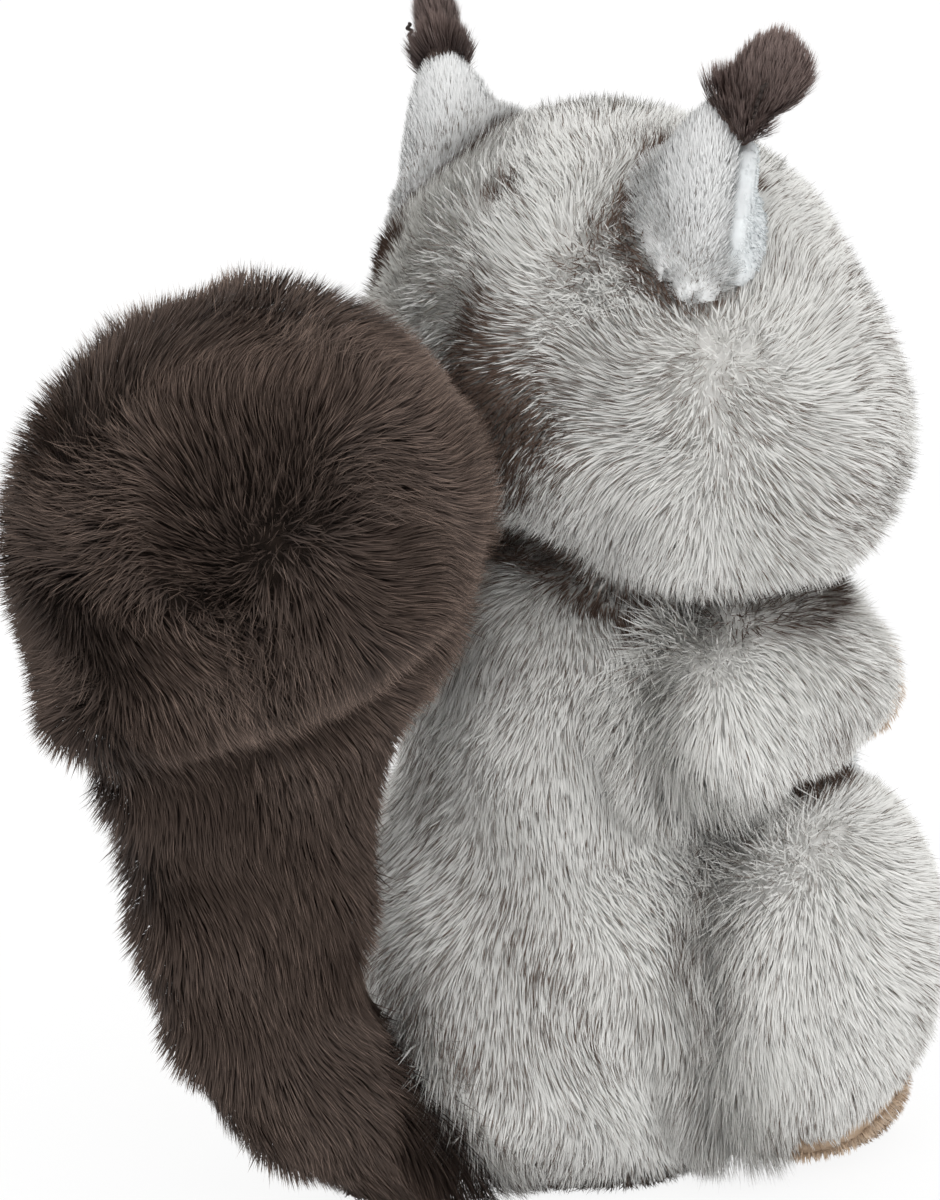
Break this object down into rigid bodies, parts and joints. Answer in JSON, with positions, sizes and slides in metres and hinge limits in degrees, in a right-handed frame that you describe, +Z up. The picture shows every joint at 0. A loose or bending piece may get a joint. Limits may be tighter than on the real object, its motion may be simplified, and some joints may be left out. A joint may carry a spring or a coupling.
{
  "type": "plush squirrel",
  "caption": "Seated plush squirrel in long frosted pile, with tufted ears, white belly, beige feet and a thick dark tail that curls up its back.",
  "frame": {"origin": "middle of the flat seat, on the ground", "axes": "+Z up; the squirrel looks along -Y, so its tail is at +Y; its right side is at -X"},
  "size_m": [0.1569, 0.2547, 0.2839],
  "materials": {
    "frosted_pile": "long white and cream pile with dark brown tips",
    "brown_pile": "long dark brown pile with lighter tips",
    "white_plush": "short smooth white plush",
    "beige_plush": "short beige plush",
    "dark_plastic": "glossy"
  },
  "bodies": {
    "root": {"body": "frosted_pile", "head": "frosted_pile", "arm_right": "frosted_pile", "arm_left": "frosted_pile", "thigh_right": "frosted_pile", "thigh_left": "frosted_pile", "ear_right": "frosted_pile", "ear_left": "frosted_pile", "ear_lining_right": "white_plush", "ear_lining_left": "white_plush", "ear_tuft_right": "brown_pile", "ear_tuft_left": "brown_pile", "belly_panel": "white_plush", "muzzle": "white_plush", "paw_right": "beige_plush", "paw_left": "beige_plush", "foot_right": "beige_plush", "foot_left": "beige_plush", "nose": "dark_plastic", "eye_right": "dark_plastic", "eye_left": "dark_plastic", "tail": "brown_pile"}
  },
  "joints": []
}
